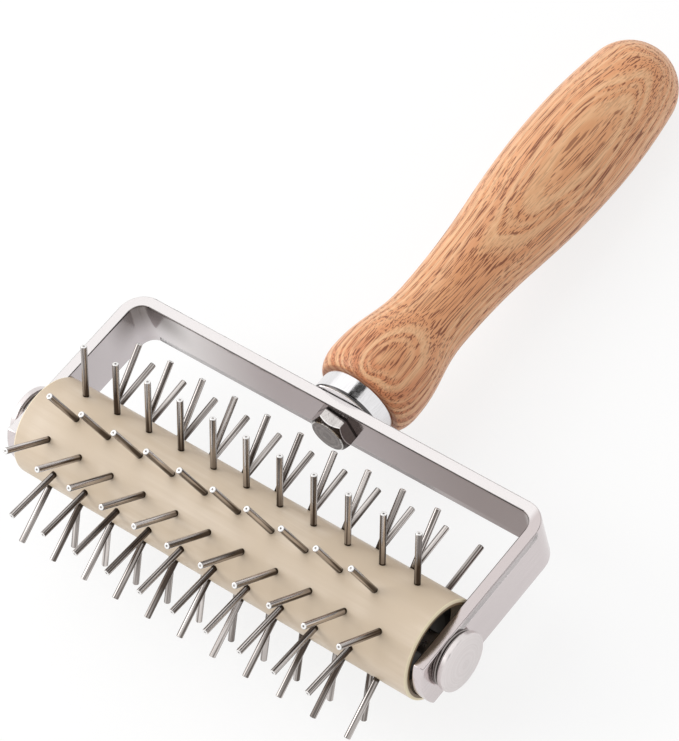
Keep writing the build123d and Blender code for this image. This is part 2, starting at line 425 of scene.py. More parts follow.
@dataclass(frozen=True)
class BrushedBar(Finish):
    """Stainless bar, finely brushed along its length, wherever the bar turns, with painted
    reflection and painted shade on its inner face and painted shade on the right arm's narrow
    edges.
    """

    name: str = "brushed_bar"
    colour: Colour = (0.71, 0.65, 0.65)
    dark: Colour = (0.63, 0.57, 0.57)
    narrow: Colour = (0.72, 0.69, 0.685)
    # corner, inner and shaded paint reflection and shade on the inner face; edge paints dark shade
    # in the left bend and the thin inner edge line
    corner: Colour = (0.56, 0.52, 0.53)
    inner: Colour = (0.4, 0.345, 0.345)
    shaded: Colour = (0.24, 0.19, 0.18)
    right_edge_shade: Colour = (0.52, 0.465, 0.46)
    edge: Colour = (0.14, 0.12, 0.11)
    half_width: float = 7.0
    bold_share: float = 0.35
    on_inside: Ramp = (0.04, 0.12, 0.9, 0.0)
    corner_ends: Ramp = (-62.0, -46.0)
    inner_starts: Ramp = (-55.0, -15.0)
    shade_starts: Ramp = (0.0, 45.0)
    bend_starts: Ramp = (-74.0, -64.0)
    bend_ends: Ramp = (-54.0, -42.0, 0.9, 0.0)
    bend_height: Ramp = (-5.0, 5.0)
    right_arm_starts: Ramp = (58.5, 60.3)
    on_narrow: Ramp = (-0.1, -0.03, 0.0, 0.9)
    inner_edge_line: Ramp = (-0.32, -0.22)
    inner_edge_depth: Ramp = (0.1, 0.3, 1.0, 0.0)
    inner_edge_starts: Ramp = (-78.0, -66.0, 0.25, 0.85)
    gloss_shares: Point = (0.6, 0.4)
    gloss: Ramp = (0.0, 1.0, 0.09, 0.19)
    brush_depth: float = 0.000002

    def inside(self, board: NodeBoard, along: Socket, height: Socket) -> Socket:
        """The inner face's painted reflection and painted shade: pale on the left, darkest in the
        left bend and to the right.

        Args:
            board: The material's nodes.
            along: The way along the bar from the bridge's middle.
            height: The way over the bar's middle, across its width.

        Returns:
            The socket with the tone.
        """
        tone = board.mix(board.ramp(along, *self.corner_ends), self.corner, self.narrow)
        tone = board.mix(board.ramp(along, *self.inner_starts), tone, self.inner)
        tone = board.mix(board.ramp(along, *self.shade_starts), tone, self.shaded)
        # Painted shade in the left bend, towards the bar's upper edge
        bend = board.times(board.ramp(along, *self.bend_starts),
                           board.ramp(along, *self.bend_ends))
        bend = board.times(bend, board.ramp(height, *self.bend_height))
        return board.mix(bend, tone, self.edge)

    def dress(self, board: NodeBoard) -> dict[str, Any]:
        """Brushed streaks, painted reflection and shade on the inner face, painted shade on the
        right arm's narrow edges, and a thin dark line on the inner edges.

        Args:
            board: The material's nodes.

        Returns:
            The shader's inputs by name.
        """
        place, own = board.attribute(ALONG_BAR), self.own_place(board)
        fine = Streaks.mask(board, place=place, stretch=(0.05, 9.0, 0.0), detail=3.0)
        bold = Streaks.mask(board, place=place, stretch=(0.02, 2.2, 0.0), low=0.55, high=0.8)
        soft = Smudges.mask(board, place=own, patch_size=14.0)
        tone = board.mix(fine, self.colour, self.dark)
        tone = board.mix(board.times(bold, self.bold_share), tone, self.dark)
        along, _, depth = board.split(place)
        sideways, _, height = board.split(own)
        inside = self.inside(board, along, height)
        # Painted reflection and painted shade on the inner face
        tone = board.mix(board.ramp(depth, *self.on_inside), tone, inside)
        # Painted shade on the right arm's narrow edges
        right_arm = board.ramp(sideways, *self.right_arm_starts)
        narrow = board.mix(right_arm, self.narrow, self.right_edge_shade)
        from_edge = board.less(board.math("ABSOLUTE", height), self.half_width)
        tone = board.mix(board.ramp(from_edge, *self.on_narrow), tone, narrow)
        # A thin dark line along the rounded inner edges, fainter on the left arm
        sheared = board.times(board.ramp(from_edge, *self.inner_edge_line),
                              board.ramp(depth, *self.inner_edge_depth))
        sheared = board.times(sheared, board.ramp(along, *self.inner_edge_starts))
        gloss = board.blend(fine, soft, self.gloss_shares)
        return {"Base Color": board.mix(sheared, tone, self.edge), "Metallic": 1.0,
                "Roughness": board.ramp(gloss, *self.gloss),
                "Normal": self.bump(board, fine, self.brush_depth)}


@dataclass(frozen=True)
class TurnedSteel(Finish):
    """Steel with the fine rings of turning on its faces."""

    name: str = "turned_finish"
    axis: Turn = Turn.ROLLER_AXIS
    colour: Colour = (0.62, 0.585, 0.575)
    dark: Colour = (0.5, 0.47, 0.46)
    joint: Colour = (0.06, 0.05, 0.046)
    joints: tuple[float, ...] = ()
    joint_line: Ramp = (0.12, 0.22, 0.95, 0.0)
    rings: float = 4.0
    ring_share: float = 0.7
    gloss_shares: Point = (0.5, 0.5)
    gloss: Ramp = (0.0, 1.0, 0.2, 0.34)
    ring_depth: float = 0.000006

    def dress(self, board: NodeBoard) -> dict[str, Any]:
        """Rings in colour, gloss and height, smudges over them and dark lines at the joints.

        Args:
            board: The material's nodes.

        Returns:
            The shader's inputs by name.
        """
        place, across = self.own_place(board), self.axis.across()
        turned = TurnedRings.mask(board, place=place, across=across, rings_per_mm=self.rings)
        soft = Smudges.mask(board, place=place, patch_size=5.0)
        tone = board.mix(board.times(turned, self.ring_share), self.colour, self.dark)
        station = board.split(place)[0]
        for joint in self.joints:
            line = board.ramp(board.gap(station, joint), *self.joint_line)
            tone = board.mix(line, tone, self.joint)
        gloss = board.blend(turned, soft, self.gloss_shares)
        return {"Base Color": tone, "Metallic": 1.0,
                "Roughness": board.ramp(gloss, *self.gloss),
                "Normal": self.bump(board, turned, self.ring_depth)}


@dataclass(frozen=True)
class BoltSteel(Finish):
    """The bolt's steel: bright flats with painted shade on one side's flats, and a face darkened as
    painted reflection, with scratches.
    """

    name: str = "bolt_finish"
    flat: Colour = (0.62, 0.59, 0.575)
    painted_flat_shade: Colour = (0.13, 0.105, 0.095)
    face: Colour = (0.22, 0.19, 0.18)
    mark: Colour = (0.04, 0.033, 0.03)
    bright: Colour = (0.85, 0.84, 0.82)
    face_station: float = 32.2
    face_radius: float = 4.45
    chamfer_slope: float = 0.909
    seat: float = 36.2
    ring_share: float = 0.6
    scratch_share: float = 0.25
    line_share: float = 0.3
    on_face: Ramp = (0.03, 0.08, 1.0, 0.0)
    rim_starts: Ramp = (0.08, 0.12, 0.0, 0.8)
    rim_ends: Ramp = (0.22, 0.4, 1.0, 0.0)
    highlight_ring: float = 0.05
    highlight_fade: Ramp = (0.05, 0.2, 0.6, 0.0)
    chamfer_starts: Ramp = (0.2, 0.35, 0.0, 0.85)
    flat_shade_starts: Ramp = (3.6, 3.85, 0.0, 0.85)
    seat_starts: Ramp = (-0.45, -0.3, 0.0, 0.95)
    gloss: Ramp = (0.0, 1.0, 0.1, 0.2)
    scratch_depth: float = 0.000012

    def dress(self, board: NodeBoard) -> dict[str, Any]:
        """Rings and scratches on the face, draw lines on the flats, painted highlights round the
        face and between chamfer and flats, and painted reflection darkening face and chamfer.

        Args:
            board: The material's nodes.

        Returns:
            The shader's inputs by name.
        """
        place, across = self.own_place(board), Turn.HANDLE_AXIS.across()
        sideways, station, _ = board.split(place)
        turned = TurnedRings.mask(board, place=place, across=across, rings_per_mm=1.6)
        cross = Streaks.mask(board, place=place, stretch=(0.6, 1.0, 3.5), detail=3.0,
                             low=0.58, high=0.66)
        lines = Streaks.mask(board, place=place, stretch=(2.2, 0.25, 2.2), detail=3.0)
        soft = Smudges.mask(board, place=place, patch_size=2.5)
        outside = board.less(board.length(place, across), self.face_radius)
        drop = board.math("MAXIMUM", board.times(outside, self.chamfer_slope), 0.0)
        rise = board.less(board.less(station, self.face_station), drop)
        # The face's dark tone is painted reflection, under real turning rings
        face = board.mix(board.times(turned, self.ring_share), self.face, self.mark)
        face = board.mix(board.times(cross, self.scratch_share), face, self.bright)
        # A painted highlight ring round the face's edge
        ring_highlight = board.ramp(board.gap(outside, self.highlight_ring), *self.highlight_fade)
        face = board.mix(ring_highlight, face, self.bright)
        # Painted reflection darkens the chamfer
        face = board.mix(board.ramp(outside, *self.chamfer_starts), face, self.mark)
        flat = board.mix(board.times(lines, self.line_share), self.flat, self.face)
        # Painted shade darkens the flats on one side
        flat = board.mix(board.ramp(sideways, *self.flat_shade_starts), flat, self.painted_flat_shade)
        # A painted highlight between chamfer and flats
        rim = board.times(board.ramp(rise, *self.rim_starts), board.ramp(rise, *self.rim_ends))
        flat = board.mix(rim, flat, self.bright)
        # A dark joint at the seat, widened by a painted contact shadow
        seat = board.ramp(board.less(station, self.seat), *self.seat_starts)
        flat = board.mix(seat, flat, self.mark)
        height = board.math("ADD", turned, cross, clamp=True)
        return {"Base Color": board.mix(board.ramp(rise, *self.on_face), flat, face),
                "Metallic": 1.0, "Roughness": board.ramp(soft, *self.gloss),
                "Normal": self.bump(board, height, self.scratch_depth)}


@dataclass(frozen=True)
class DrawnPin(Finish):
    """Drawn stainless wire for the pins, with painted shade where each one enters the sleeve."""

    name: str = "drawn_pin"
    bright: Colour = (0.7, 0.655, 0.63)
    dark: Colour = (0.075, 0.058, 0.048)
    root: Colour = (0.04, 0.03, 0.022)
    tip: Colour = (0.9, 0.89, 0.88)
    length: float = 15.0
    stretch: Triple = (1.25, 0.02, 1.25)
    tone_shift: float = 37.0
    dark_shares: Point = (0.78, 0.18)
    root_shade_ends: Ramp = (0.0, 9.75, 0.45, 0.0)
    root_ends: Ramp = (0.35, 0.8, 1.0, 0.0)
    tip_starts: Ramp = (-0.1, -0.02)
    centre_ends: Ramp = (0.2, 0.34, 0.8, 0.0)
    gloss: Ramp = (0.0, 1.0, 0.08, 0.16)
    tip_gloss: float = 0.25
    line_depth: float = 0.000003

    def dress(self, board: NodeBoard) -> dict[str, Any]:
        """Draw lines, partly painted dark reflection, painted shade towards the root, and a bright
        sheared tip with painted shade in its centre dimple.

        Args:
            board: The material's nodes.

        Returns:
            The shader's inputs by name.
        """
        on_pin, tone = board.attribute(PIN_PLACE), board.attribute(PIN_TONE, "Fac")
        soft = Smudges.mask(board, place=self.own_place(board), patch_size=4.0)
        apart = board.add("CombineXYZ", {0: board.times(tone, self.tone_shift)}).outputs[0]
        wide = board.vector("MULTIPLY", on_pin, self.stretch)
        lines = Streaks.mask(board, place=board.vector("ADD", wide, apart), detail=1.5,
                             low=0.38, high=0.6)
        from_tip = board.split(on_pin)[1]
        # Near-black draw lines: partly real lines, partly painted dark reflection
        from_root = board.math("ADD", from_tip, self.length)
        share = board.blend(lines, tone, self.dark_shares)
        # Painted shade towards the root
        share = board.math("ADD", share, board.ramp(from_root, *self.root_shade_ends), clamp=True)
        colour = board.mix(share, self.bright, self.dark)
        # A painted shadow where the pin enters the sleeve
        colour = board.mix(board.ramp(from_root, *self.root_ends), colour, self.root)
        on_tip = board.ramp(from_tip, *self.tip_starts)
        # Painted shade in the tip's centre dimple
        centre = board.length(on_pin, Turn.HANDLE_AXIS.across())
        face = board.mix(board.ramp(centre, *self.centre_ends), self.tip, self.dark)
        gloss = board.ramp(soft, *self.gloss)
        return {"Base Color": board.mix(on_tip, colour, face), "Metallic": 1.0,
                "Roughness": board.math("ADD", gloss, board.times(on_tip, self.tip_gloss)),
                "Normal": self.bump(board, lines, self.line_depth)}


@dataclass(frozen=True)
class ChromedCup(Finish):
    """Bright chromed sheet of the ferrule, with faint lines from drawing."""

    name: str = "chromed_cup"
    colour: Colour = (0.83, 0.82, 0.83)
    dark: Colour = (0.72, 0.71, 0.72)
    joint: Colour = (0.06, 0.055, 0.055)
    seat: float = 39.2
    line_share: float = 0.6
    foot_starts: Ramp = (0.1, 0.2)
    foot_ends: Ramp = (0.4, 0.52, 0.95, 0.0)
    foot_widens: Ramp = (-4.0, 7.0, 0.0, 0.5)
    gloss: Ramp = (0.0, 1.0, 0.12, 0.2)
    line_depth: float = 0.000002

    def dress(self, board: NodeBoard) -> dict[str, Any]:
        """Hair-fine draw lines, small changes in gloss and a dark joint against the bar, widened
        towards the right by painted shade.

        Args:
            board: The material's nodes.

        Returns:
            The shader's inputs by name.
        """
        place = self.own_place(board)
        lines = Streaks.mask(board, place=place, stretch=(4.0, 0.3, 4.0), detail=3.0)
        soft = Smudges.mask(board, place=place, patch_size=3.0)
        sideways, station, _ = board.split(place)
        rise = board.less(station, self.seat)
        # The foot's dark band is a joint, widened towards the right as painted shade
        top = board.less(rise, board.ramp(sideways, *self.foot_widens))
        foot = board.times(board.ramp(rise, *self.foot_starts), board.ramp(top, *self.foot_ends))
        tone = board.mix(board.times(lines, self.line_share), self.colour, self.dark)
        return {"Base Color": board.mix(foot, tone, self.joint), "Metallic": 1.0,
                "Roughness": board.ramp(soft, *self.gloss),
                "Normal": self.bump(board, lines, self.line_depth)}


@dataclass(frozen=True)
class MouldedPlastic(Finish):
    """Satin moulded plastic with a faint mottle, faint lengthwise streaks of painted reflection and
    a fine grain.
    """

    name: str = "moulded_plastic"
    colour: Colour = srgb(221, 204, 183)
    shade: Colour = srgb(210, 191, 167)
    cut: Colour = srgb(120, 98, 70)
    lip_highlight: Colour = srgb(240, 226, 194)
    end: float = 1000.0
    outer: float = 12.6
    streak_share: float = 0.8
    lip_starts: Ramp = (-0.5, -0.25)
    face_starts: Ramp = (-0.14, -0.05)
    lip_inside: Ramp = (-0.85, -0.6)
    gloss: Ramp = (0.0, 1.0, 0.34, 0.44)
    grain: float = 6.0
    grain_depth: float = 0.000006

    def dress(self, board: NodeBoard) -> dict[str, Any]:
        """Slow changes in tone and gloss over fine grain, lengthwise streaks of painted reflection,
        a painted highlight on each rim and painted shade on the end faces.

        Args:
            board: The material's nodes.

        Returns:
            The shader's inputs by name.
        """
        place = self.own_place(board)
        soft = Smudges.mask(board, place=place, patch_size=16.0)
        # Lengthwise streaks of painted reflection
        drawn = Streaks.mask(board, place=place, stretch=(0.03, 0.55, 0.55))
        tone = board.mix(soft, self.colour, self.shade)
        tone = board.mix(board.times(drawn, self.streak_share), tone, self.shade)
        past_end = board.less(board.math("ABSOLUTE", board.split(place)[0]), self.end)
        outside = board.less(board.length(place, Turn.ROLLER_AXIS.across()), self.outer)
        # Painted shade darkens the end face, with a painted highlight at its outer edge
        face = board.mix(board.ramp(outside, *self.lip_inside), self.cut, self.lip_highlight)
        # A painted highlight on the rounded rim
        tone = board.mix(board.ramp(past_end, *self.lip_starts), tone, self.lip_highlight)
        tone = board.mix(board.ramp(past_end, *self.face_starts), tone, face)
        grain = board.add("TexNoise", {"Vector": place, "Scale": self.grain, "Detail": 3.0})
        return {"Base Color": tone, "Roughness": board.ramp(soft, *self.gloss),
                "Normal": self.bump(board, grain.outputs["Fac"], self.grain_depth)}


@dataclass(frozen=True)
class OiledWood(Finish):
    """Light orange-tan wood with short dark pores along the grain, under a satin lacquer."""

    name: str = "oiled_wood"
    light: Colour = srgb(240, 191, 145)
    warm: Colour = srgb(229, 163, 115)
    deep: Colour = srgb(208, 136, 86)
    shoulder_shade: Colour = srgb(198, 114, 70)
    pore: Colour = srgb(118, 58, 30)
    start: float = 44.5
    wander: Triple = (0.05, 0.012, 0.05)
    wander_reach: Triple = (9, 0, 9)
    heart: Triple = (-22, 0, -37)
    growth_scale: float = 0.7
    band_levels: Ramp = (0.33, 0.67)
    crowd_levels: Ramp = (0.38, 0.58, 0.3, 1.0)
    fibre_share: float = 0.45
    shoulder_shade_ends: Ramp = (0.0, 22.0, 0.55, 0.0)
    joint_ends: Ramp = (0.1, 0.4, 0.45, 0.0)
    pore_share: float = 0.85
    gloss: Ramp = (0.0, 1.0, 0.38, 0.6)
    lacquer: float = 0.12
    lacquer_gloss: float = 0.3
    pore_depth: float = 0.00004
    pore_strength: float = 0.6

    def grown(self, board: NodeBoard, place: Socket) -> Socket:
        """The place with the grain's slow wander in it.

        Args:
            board: The material's nodes.
            place: The place on the handle.

        Returns:
            The socket with the moved place.
        """
        slow = board.vector("MULTIPLY", place, self.wander)
        bent = board.add("TexNoise", {"Vector": slow, "Scale": 1.0, "Detail": 2.0})
        shift = board.vector("SUBTRACT", bent.outputs["Color"], (0.5, 0.5, 0.5))
        return board.vector("ADD", place, board.vector("MULTIPLY", shift, self.wander_reach))

    def dress(self, board: NodeBoard) -> dict[str, Any]:
        """Growth bands, fibres and pores, each drawn out along the handle, and painted shade near
        the ferrule.

        Args:
            board: The material's nodes.

        Returns:
            The shader's inputs by name.
        """
        place = self.own_place(board)
        grown = self.grown(board, place)
        from_heart = board.vector("SUBTRACT", grown, self.heart)
        ring = board.length(from_heart, Turn.HANDLE_AXIS.across())
        sockets = {"W": ring, "Scale": self.growth_scale, "Detail": 2.0}
        growth = board.add("TexNoise", sockets, noise_dimensions="1D").outputs["Fac"]
        band = board.ramp(growth, *self.band_levels)
        fibre = Streaks.mask(board, place=grown, stretch=(1.6, 0.05, 1.6), detail=4.0)
        pores = Streaks.mask(board, place=grown, stretch=(4.2, 0.14, 4.2), detail=0.0,
                             low=0.59, high=0.66)
        long_pores = Streaks.mask(board, place=grown, stretch=(3.1, 0.06, 3.1), detail=0.5,
                                  low=0.62, high=0.68)
        crowd = board.ramp(growth, *self.crowd_levels)
        drawn = board.times(board.math("MAXIMUM", pores, long_pores), crowd)
        tone = board.mix(band, self.light, self.warm)
        tone = board.mix(board.times(fibre, self.fibre_share), tone, self.deep)
        from_start = board.less(board.split(place)[1], self.start)
        # Painted shade, reddish, in the growth bands near the ferrule
        near = board.times(board.ramp(from_start, *self.shoulder_shade_ends), band)
        tone = board.mix(near, tone, self.shoulder_shade)
        tone = board.mix(board.ramp(from_start, *self.joint_ends), tone, self.pore)
        height = board.less(1.0, drawn)
        return {"Base Color": board.mix(board.times(drawn, self.pore_share), tone, self.pore),
                "Roughness": board.ramp(drawn, *self.gloss),
                "Coat Weight": self.lacquer, "Coat Roughness": self.lacquer_gloss,
                "Normal": self.bump(board, height, self.pore_depth, self.pore_strength)}


@dataclass(frozen=True)
class InsertBrass(Finish):
    """Turned brass of the insert inside the wood."""

    name: str = "insert_finish"
    colour: Colour = (0.72, 0.52, 0.24)
    dark: Colour = (0.5, 0.34, 0.14)
    gloss: Ramp = (0.0, 1.0, 0.25, 0.4)

    def dress(self, board: NodeBoard) -> dict[str, Any]:
        """Turned rings over a plain brass colour.

        Args:
            board: The material's nodes.

        Returns:
            The shader's inputs by name.
        """
        across = Turn.HANDLE_AXIS.across()
        turned = TurnedRings.mask(board, place=self.own_place(board), across=across)
        return {"Base Color": board.mix(turned, self.colour, self.dark), "Metallic": 1.0,
                "Roughness": board.ramp(turned, *self.gloss)}


@dataclass(frozen=True)
class PaleTable(Finish):
    """The plain pale table under the docker."""

    name: str = "pale_table"
    colour: Colour = (0.93, 0.93, 0.93)
    paler: Colour = (0.94, 0.94, 0.94)
    patches: float = 3.0
    roughness: float = 0.8
    shine: float = 0.2
    seen_share: float = 0.8
    mirrored_share: float = 0.65

    def dress(self, board: NodeBoard) -> dict[str, Any]:
        """A matt white with hardly any change in tone.

        Args:
            board: The material's nodes.

        Returns:
            The shader's inputs by name.
        """
        place = board.add("TexCoord").outputs["Object"]
        soft = board.add("TexNoise", {"Vector": place, "Scale": self.patches}).outputs["Fac"]
        return {"Base Color": board.mix(soft, self.colour, self.paler),
                "Roughness": self.roughness, "Specular IOR Level": self.shine}

    def surface(self, board: NodeBoard, shader: Socket) -> Socket:
        """Mixes in plain white where the camera, mirrors and glass see the table.

        Args:
            board: The material's nodes.
            shader: The table's own shader, which keeps the shadows.

        Returns:
            The socket for the material's output.
        """
        path = board.add("LightPath").outputs
        seen = board.times(path["Is Camera Ray"], self.seen_share)
        mirrored = board.math("ADD", path["Is Glossy Ray"], path["Is Transmission Ray"], clamp=True)
        share = board.math("ADD", seen, board.times(mirrored, self.mirrored_share), clamp=True)
        white = board.add("Emission", {"Color": (1, 1, 1), "Strength": 1.0}).outputs[0]
        return board.add("MixShader", {0: share, 1: shader, 2: white}).outputs[0]


@dataclass(frozen=True)
class DarkFelt(Finish):
    """The felt of the dark cards that metal mirrors."""

    name: str = "dark_felt"
    colour: Colour = (0.015, 0.014, 0.013)
    nap: Colour = (0.03, 0.028, 0.026)
    nap_scale: float = 40.0
    roughness: float = 0.95

    def dress(self, board: NodeBoard) -> dict[str, Any]:
        """A matt near-black with a faint nap.

        Args:
            board: The material's nodes.

        Returns:
            The shader's inputs by name.
        """
        place = board.add("TexCoord").outputs["Object"]
        nap = board.add("TexNoise", {"Vector": place, "Scale": self.nap_scale}).outputs["Fac"]
        return {"Base Color": board.mix(nap, self.colour, self.nap),
                "Roughness": self.roughness}


STEEL_BAR = BrushedBar()
CAP_STEEL = TurnedSteel("cap_finish", colour=(0.77, 0.72, 0.715), dark=(0.68, 0.63, 0.62),
                        rings=1.6, ring_share=0.4, gloss=(0.0, 1.0, 0.3, 0.42),
                        ring_depth=0.000003)
# The washer's dark tone is painted shade between arm and cap; its joint lines are dark joints
WASHER_STEEL = TurnedSteel("washer_finish", colour=(0.36, 0.33, 0.32), rings=3.0,
                           dark=(0.26, 0.235, 0.225), joints=(63.0, 63.6, 64.2))
AXLE_STEEL = TurnedSteel("axle_finish", rings=3.0)
BOLT_STEEL = BoltSteel(aside=HANDLE_ASIDE)
PIN_STEEL = DrawnPin()
CUP_CHROME = ChromedCup()
SLEEVE_PLASTIC = MouldedPlastic("sleeve_finish", end=59.5)
CORE_PLASTIC = MouldedPlastic("core_finish", colour=srgb(24, 21, 18), shade=srgb(17, 15, 13),
                              gloss=(0.0, 1.0, 0.5, 0.62))
BUSH_PLASTIC = MouldedPlastic("bush_finish", colour=srgb(34, 30, 26), shade=srgb(26, 23, 20))
HANDLE_WOOD = OiledWood()
INSERT_BRASS = InsertBrass(aside=HANDLE_ASIDE)
TABLE_FINISH = PaleTable()
CARD_FELT = DarkFelt()


def of_kind(parts: Sequence[Any], kind: type) -> list[Any]:
    """Those parts of an operator's result that are vertices, edges or faces, as asked."""
    return [part for part in parts if isinstance(part, kind)]


def lathe(outline: Sequence[Point], turn: Turn, steps: int = 96) -> Shape:
    """Turns a half section a full turn about one of the docker's axes.

    Args:
        outline: Points of radius and station, whose ends lie on the axis or meet.
        turn: The axis that it turns about.
        steps: How many steps the turn has.

    Returns:
        The closed turned shape.
    """
    bm = bmesh.new()
    spots = [bm.verts.new(turn.spot(radius, station)) for radius, station in outline]
    for start, end in zip(spots, spots[1:]):
        bm.edges.new((start, end))
    bmesh.ops.spin(bm, geom=bm.verts[:] + bm.edges[:], axis=turn.direction(), cent=(0, 0, 0),
                   angle=math.tau, steps=steps, use_merge=True)
    bmesh.ops.remove_doubles(bm, verts=bm.verts[:], dist=MERGED_WITHIN)
    bmesh.ops.recalc_face_normals(bm, faces=bm.faces[:])
    return bm


def pushed(bm: Shape, faces: Sequence[Face], way: Vector) -> list[Face]:
    """Extrudes a section's faces straight along a vector.

    Args:
        bm: The shape that the faces belong to.
        faces: The section's faces.
        way: How far and which way they go.

    Returns:
        The section's faces at the far end.
    """
    made = bmesh.ops.extrude_face_region(bm, geom=faces)["geom"]
    bmesh.ops.translate(bm, verts=of_kind(made, bmesh.types.BMVert), vec=way)
    return of_kind(made, Face)


def rounded(outline: Sequence[Point], corner: int, radius: float, steps: int = 4) -> list[Point]:
    """Rounds one corner of an outline with an arc that runs into its two straight sides.

    Args:
        outline: Points of radius and station.
        corner: The corner's place in the outline.
        radius: The arc's radius.
        steps: How many chords the arc has.

    Returns:
        The outline with the corner replaced by the arc's points.
    """
    before, at, after = (Vector(outline[i]) for i in (corner - 1, corner, corner + 1))
    back, on = (before - at).normalized(), (after - at).normalized()
    half = back.angle(on) / 2
    reach = radius / math.tan(half)
    centre = at + (back + on).normalized() * (radius / math.sin(half))
    start, end = at + back * reach, at + on * reach
    sweep = (start - centre).angle_signed(end - centre)
    arc = [centre + Matrix.Rotation(-sweep * k / steps, 2) @ (start - centre)
           for k in range(steps + 1)]
    return [*outline[:corner], *((p.x, p.y) for p in arc), *outline[corner + 1:]]


def sharpen(bm: Shape, degrees: float) -> None:
    """Shades a shape smoothly except over its sharp edges.

    Args:
        bm: The shape.
        degrees: The angle between faces from which an edge is sharp.
    """
    for face in bm.faces:
        face.smooth = True
    for edge in bm.edges:
        flatter = edge.calc_face_angle(0.0) < math.radians(degrees)
        edge.smooth = flatter or len(edge.link_faces) != 2


def linked(name: str, data: bpy.types.ID) -> Piece:
    """Puts a mesh, a lamp or a camera into the scene.

    Args:
        name: The new object's name.
        data: What it shows.

    Returns:
        The object, at the origin.
    """
    made = bpy.data.objects.new(name, data)
    bpy.context.scene.collection.objects.link(made)
    return made


def as_object(bm: Shape, name: str, finish: Finish | None = None) -> Piece:
    """Makes a shape an object of the scene.

    Args:
        bm: The shape, which is used up.
        name: The object's name and its mesh's.
        finish: Its finish, where it has one.

    Returns:
        The object, at the origin.
    """
    mesh = bpy.data.meshes.new(name)
    bm.to_mesh(mesh)
    bm.free()
    if finish is not None:
        mesh.materials.append(finish.material())
    return linked(name, mesh)


def set_down(bm: Shape, name: str, body: Body, finish: Finish,
             nodes: Sequence[str]) -> Piece:
    """Makes a finished shape a piece of the docker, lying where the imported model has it.

    Args:
        bm: The shape in the docker's own frame, which is used up.
        name: The piece's name.
        body: The body that it rides on.
        finish: Its finish.
        nodes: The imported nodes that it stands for.

    Returns:
        The piece.
    """
    bmesh.ops.transform(bm, matrix=LAID.matrix(), verts=bm.verts[:])
    piece = as_object(bm, name, finish)
    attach(piece, body.value)
    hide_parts(*nodes)
    piece.modifiers.new("flat_faces", "WEIGHTED_NORMAL").keep_sharp = True
    return piece


def repaint(nodes: dict[str, Piece], names: Sequence[str], finish: Finish) -> None:
    """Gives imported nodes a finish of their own.

    Args:
        nodes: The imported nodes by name.
        names: The nodes to dress.
        finish: The finish.
    """
    for name in names:
        mesh = nodes[name].data
        mesh.materials.clear()
        mesh.materials.append(finish.material())


